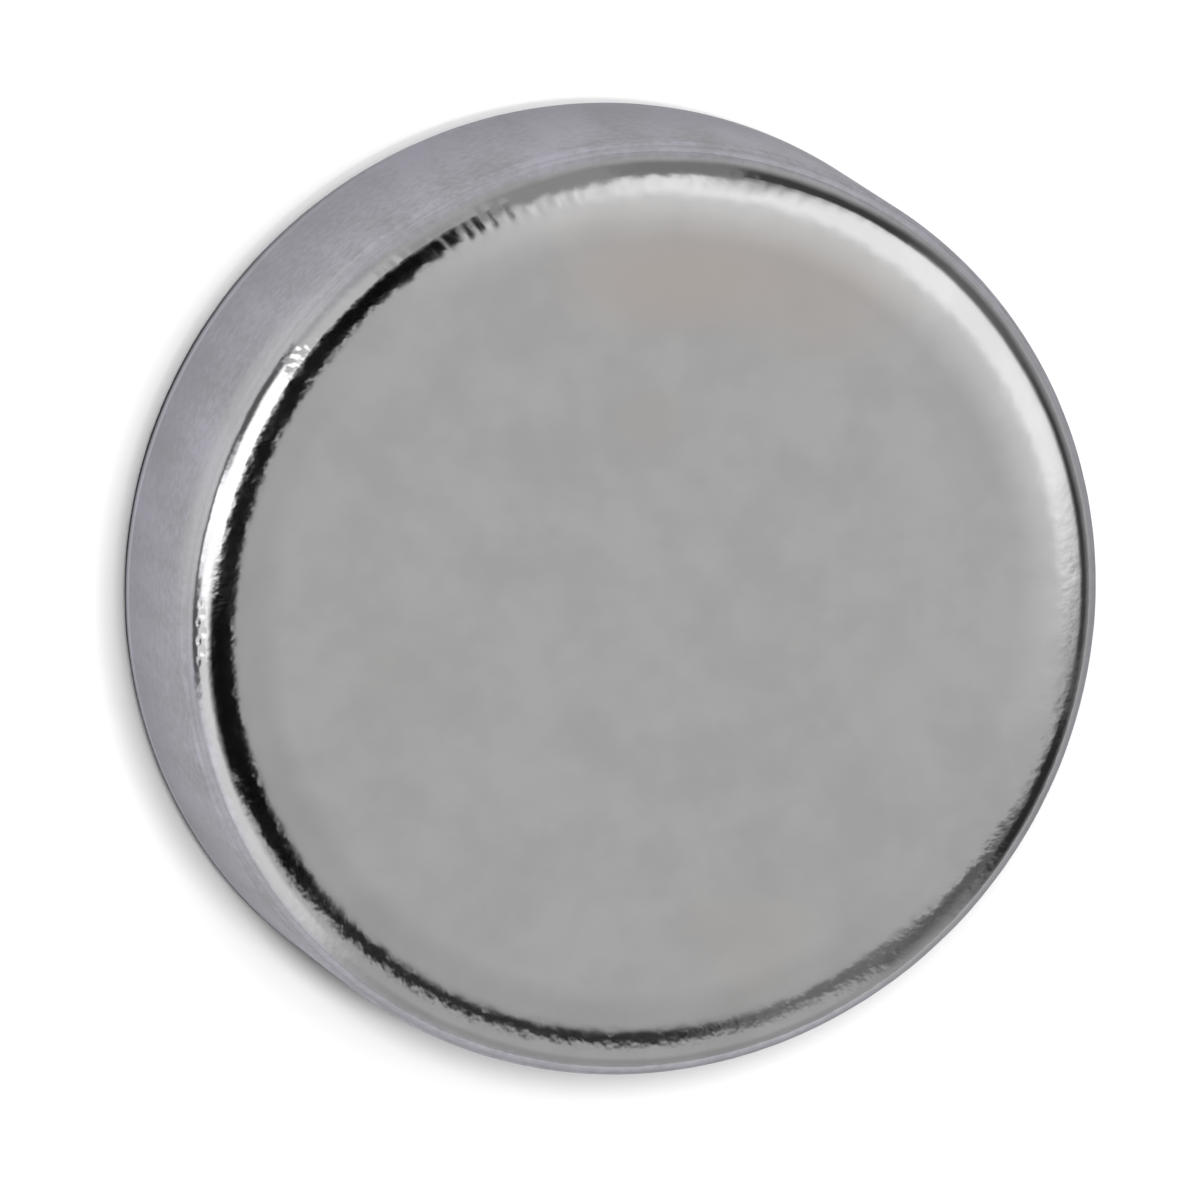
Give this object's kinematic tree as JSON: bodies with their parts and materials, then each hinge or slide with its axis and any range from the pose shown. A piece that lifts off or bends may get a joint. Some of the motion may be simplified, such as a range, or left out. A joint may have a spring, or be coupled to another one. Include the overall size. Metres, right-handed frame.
{
  "type": "disc magnet",
  "caption": "Small flat cylindrical magnet with tumbled, rounded rims and a bright nickel finish, for holding notes or fitting in a round pocket.",
  "frame": {"origin": "centre of the lower flat face, which is what the disc lies on", "axes": "+Z along the disc's axis, from the lower flat face to the upper one; +X and +Y are any two radial directions at right angles"},
  "size_m": [0.01, 0.01, 0.003],
  "materials": {
    "nickel_plating": "bright nickel plating, satin on the flat faces, mirror bright on the rims, with faint grinding lines round the wall"
  },
  "bodies": {
    "root": {"disc_magnet": "nickel_plating"}
  },
  "joints": []
}
